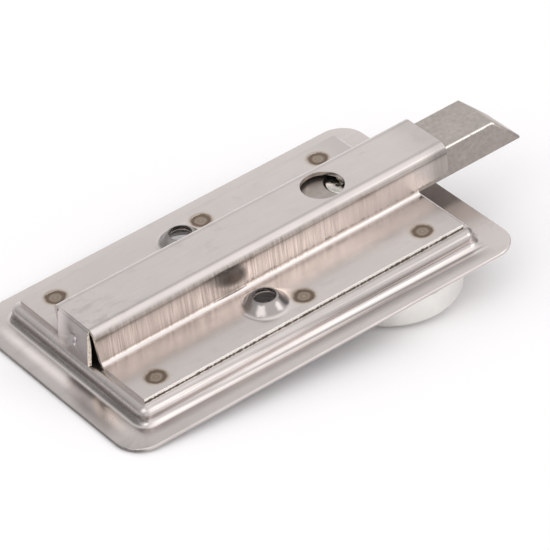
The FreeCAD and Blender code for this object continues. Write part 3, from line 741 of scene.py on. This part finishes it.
# Worn upper edges, lighter partly as a painted highlight
wear_and_highlight = put(tree, "ShaderNodeMapRange",
           {"Value": both, "From Min": 0.25, "From Max": 0.5}, interpolation_type="SMOOTHSTEP")
nicked = put(tree, "ShaderNodeMapRange",
             {"Value": grain(tree, where, (2.5, 0.8, 0.8), 3.0), "From Min": 0.34, "From Max": 0.44})
along = put(tree, "ShaderNodeMapRange", {"Value": endways, "From Min": 0.35, "From Max": 0.15})
upper = put(tree, "ShaderNodeMapRange",
            {"Value": point.outputs["Z"], "From Min": BOLT_TOP - 1.1, "From Max": BOLT_TOP - 0.7})
for mask in (nicked, along, upper):
    wear_and_highlight = put(tree, "ShaderNodeMath", {0: wear_and_highlight, 1: mask}, operation="MULTIPLY")
print("started", bolt_finish.name)

# %% [markdown]
# ## Faces of the bolt
# The sides have painted shade, a little darker than the top. The underside and the edges of the bevel have
# painted shade; those edges are found by a bevel node: its rounded normal turns both sideways and endways
# only there. The bevel itself has painted light. The worn edges are lighter, partly as a painted highlight,
# and smoother than everything else.

# %% Tones and roughness of the bolt
BEVEL_EDGE = 0.25
# Painted light on the bevel and painted shade on the underside: each face's axis, where the change starts and
# ends on the normal, and the factor there
PAINTED_FACE_LIGHT_AND_SHADE = {"bevel_light": ("X", 0.3, 0.6, 1.25), "underside_shade": ("Z", -0.6, -0.95, 0.5)}

# Painted shade on the edges of the bevel
rounded = put(tree, "ShaderNodeBevel", {"Radius": BEVEL_EDGE * MM}, samples=BEVEL_SAMPLES)
rounded = put(tree, "ShaderNodeSeparateXYZ", {0: rounded})
turned_end = put(tree, "ShaderNodeMath", {0: rounded.outputs["X"]}, operation="ABSOLUTE")
turned_side = put(tree, "ShaderNodeMath", {0: rounded.outputs["Y"]}, operation="ABSOLUTE")
painted_bevel_edge_shade = put(tree, "ShaderNodeMath", {0: turned_end, 1: turned_side}, operation="MINIMUM")
painted_bevel_edge_shade = put(tree, "ShaderNodeMapRange",
                 {"Value": painted_bevel_edge_shade, "From Min": 0.05, "From Max": 0.2, "To Min": 1.0, "To Max": 0.75})
# Painted shade on the sides
painted_side_shade = put(tree, "ShaderNodeMapRange",
           {"Value": sideways, "From Min": 0.8, "From Max": 0.98, "To Min": 1.0, "To Max": 0.82})
factors = [blotched, clouded, painted_side_shade, painted_bevel_edge_shade]
for axis, start, end, factor in PAINTED_FACE_LIGHT_AND_SHADE.values():
    factors.append(put(tree, "ShaderNodeMapRange",
                       {"Value": facing.outputs[axis], "From Min": start, "From Max": end,
                        "To Min": 1.0, "To Max": factor}))
tone = colour("B0A7A1")
for factor in factors:
    tone = put(tree, "ShaderNodeMix", {0: 1.0, 6: tone, 7: factor}, data_type="RGBA", blend_type="MULTIPLY")
tone = put(tree, "ShaderNodeMix", {0: wear_and_highlight, 6: tone, 7: colour("D2CCC6")}, data_type="RGBA")
rough = put(tree, "ShaderNodeMapRange",
            {"Value": blotch, "From Min": 0.3, "From Max": 0.7, "To Min": 0.46, "To Max": 0.36})
rough = put(tree, "ShaderNodeMix", {0: wear_and_highlight, 2: rough, 3: 0.22})
finish_metal(tree, tone, rough, blotch, depth=0.008, rounding=0.2)
print("made", bolt_finish.name)

# %% [markdown]
# ## Small parts
# The finger pull is the face that people see and touch, so it is buffed to a satin shine. Its post is cut
# from turned bar, the screw is bright zinc plate, and the spring is drawn wire. They differ only in colour,
# roughness and the size of the faint pattern that polishing, turning, plating or drawing leaves.

# %% Polished, turned, plated and drawn finishes


def fine_metal(name, tint, roughness, cell, depth):
    """Metal with one faint pattern, of cells in millimetres, in its tone, its roughness and its relief."""
    made, tree = new_material(name)
    pattern = grain(tree, millimetres(tree), cell)
    light = put(tree, "ShaderNodeMapRange",
                {"Value": pattern, "From Min": 0.3, "From Max": 0.7, "To Min": 0.95, "To Max": 1.05})
    tone = put(tree, "ShaderNodeMix", {0: 1.0, 6: colour(tint), 7: light},
               data_type="RGBA", blend_type="MULTIPLY")
    rough = put(tree, "ShaderNodeMapRange",
                {"Value": pattern, "From Min": 0.3, "From Max": 0.7,
                 "To Min": roughness, "To Max": roughness + 0.06})
    finish_metal(tree, tone, rough, pattern, depth, rounding=0.15)
    return made


finishes = {
    "tray": tray_finish,
    "bolt_guide": guide_finish,
    "slam_bolt": bolt_finish,
    "pull_handle": fine_metal("polished stainless", "E8E6E2", 0.42, (6.0, 6.0, 6.0), 0.003),
    "pull_post": fine_metal("turned bar steel", "B9B4AE", 0.3, (4.0, 4.0, 0.3), 0.006),
    "pull_screw": fine_metal("bright zinc plate", "E6E2DC", 0.2, (0.8, 0.8, 0.8), 0.004),
    "return_spring": fine_metal("drawn spring wire", "A9A6A2", 0.3, (1.2, 1.2, 1.2), 0.004),
}
for name, finish in finishes.items():
    nodes[name].data.materials.clear()
    nodes[name].data.materials.append(finish)
print("finishes", sorted(finish.name for finish in finishes.values()))

# %% [markdown]
# ## Table
# The latch lies face down on a white table. Its finger pull holds one end up, so the table is tilted in the
# latch's own frame: it touches the low left edge of the tray and the low left edge of the pull. The table
# is one large face, turned and moved in its mesh, so that its object stays at the origin. It is white
# laminate, pressed with a matte face, which takes soft shadows and mirrors nothing.

# %% White table
TABLE_TILT = math.radians(6.6)
TABLE_HALF = 6.0

table_mesh = bpy.data.meshes.new("table")
table = bpy.data.objects.new("table", table_mesh)
bpy.context.scene.collection.objects.link(table)
tray_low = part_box("tray")[0]
shape = bmesh.new()
bmesh.ops.create_grid(shape, x_segments=1, y_segments=1, size=TABLE_HALF)
bmesh.ops.rotate(shape, cent=(0, 0, 0), matrix=Matrix.Rotation(TABLE_TILT, 3, "Y"), verts=shape.verts)
bmesh.ops.translate(shape, vec=(tray_low.x, 0, tray_low.z), verts=shape.verts)
shape.to_mesh(table_mesh)
shape.free()

table_finish, tree = new_material("white laminate")
diffuse = put(tree, "ShaderNodeBsdfDiffuse", {"Color": colour("F0EEEF")})
put(tree, "ShaderNodeOutputMaterial", {"Surface": diffuse})
table_mesh.materials.append(table_finish)
print("table tilted", round(math.degrees(TABLE_TILT), 1), "degrees")

# %% [markdown]
# ## Light
# Steel is lit by what it mirrors, so the room matters more than any lamp. Here the room is white. A large
# softbox stands before the latch and brightens every fold that faces it, and two small lamps, one on each
# side, put highlights on the dimples. Four darker places give the metal its contrast: a gap overhead, a
# strip and a dim wall at the back left, and a corner at the right. Each is a soft round patch, given by a
# direction and two angles, and the level rises or falls between them. To the camera itself the room is
# never darker than white.

# %% White room with soft bright and dark patches
# Each patch's direction, the angles at which it starts and is whole, in degrees, and its change of level
ROOM = {
    "front softbox": ((0.35, -0.60, 0.72), 62, 22, 0.28),
    "left small lamp": ((-0.68, -0.30, 0.67), 28, 3, 1.6),
    "right small lamp": ((0.68, -0.58, 0.45), 19, 2, 1.6),
    "dark gap overhead": ((0.20, 0.58, 0.79), 17, 5, -0.5),
    "dark strip at the back left": ((-0.73, 0.66, 0.17), 21, 7, -0.3),
    "dark corner at the right": ((0.99, 0.12, 0.10), 26, 10, -0.65),
    "dim wall at the back left": ((-0.45, 0.60, 0.66), 50, 20, -0.13),
}

world = bpy.data.worlds.new("studio")
bpy.context.scene.world = world
world.use_nodes = True
tree = world.node_tree
tree.nodes.clear()
toward = put(tree, "ShaderNodeTexCoord").outputs["Generated"]
level = 1.0
for direction, outer, inner, change in ROOM.values():
    alignment = put(tree, "ShaderNodeVectorMath", {0: toward, 1: Vector(direction).normalized()},
                    operation="DOT_PRODUCT")
    soft_patch = put(tree, "ShaderNodeMapRange",
                     {"Value": alignment, "From Min": math.cos(math.radians(outer)),
                      "From Max": math.cos(math.radians(inner)), "To Max": change},
                     interpolation_type="SMOOTHSTEP")
    level = put(tree, "ShaderNodeMath", {0: soft_patch, 1: level}, operation="ADD")
path = put(tree, "ShaderNodeLightPath")
level = put(tree, "ShaderNodeMath", {0: level, 1: path.outputs["Is Camera Ray"]}, operation="MAXIMUM")
room = put(tree, "ShaderNodeBackground", {"Color": (1, 1, 1, 1), "Strength": level})
put(tree, "ShaderNodeOutputWorld", {"Surface": room})
print("room patches", list(ROOM))

# %% [markdown]
# ## Camera
# The camera looks down on the latch from the front left with a long lens, as the photographer did. Its place,
# angles and lens were fitted to the latch's edges in the photograph.

# %% Camera
SENSOR = 36.0
LENS = 248.61
CAMERA_PLACE = (-0.42790, -0.66356, 0.61035)
CAMERA_DEGREES = (52.1406, 5.1526, -37.3905)

camera_data = bpy.data.cameras.new("camera")
camera_data.sensor_width = SENSOR
camera_data.lens = LENS
camera = bpy.data.objects.new("camera", camera_data)
camera.location = CAMERA_PLACE
camera.rotation_euler = [math.radians(angle) for angle in CAMERA_DEGREES]
bpy.context.scene.collection.objects.link(camera)
bpy.context.scene.camera = camera
bpy.context.scene.view_settings.view_transform = "Standard"
print("camera at", [round(value, 3) for value in camera.location])
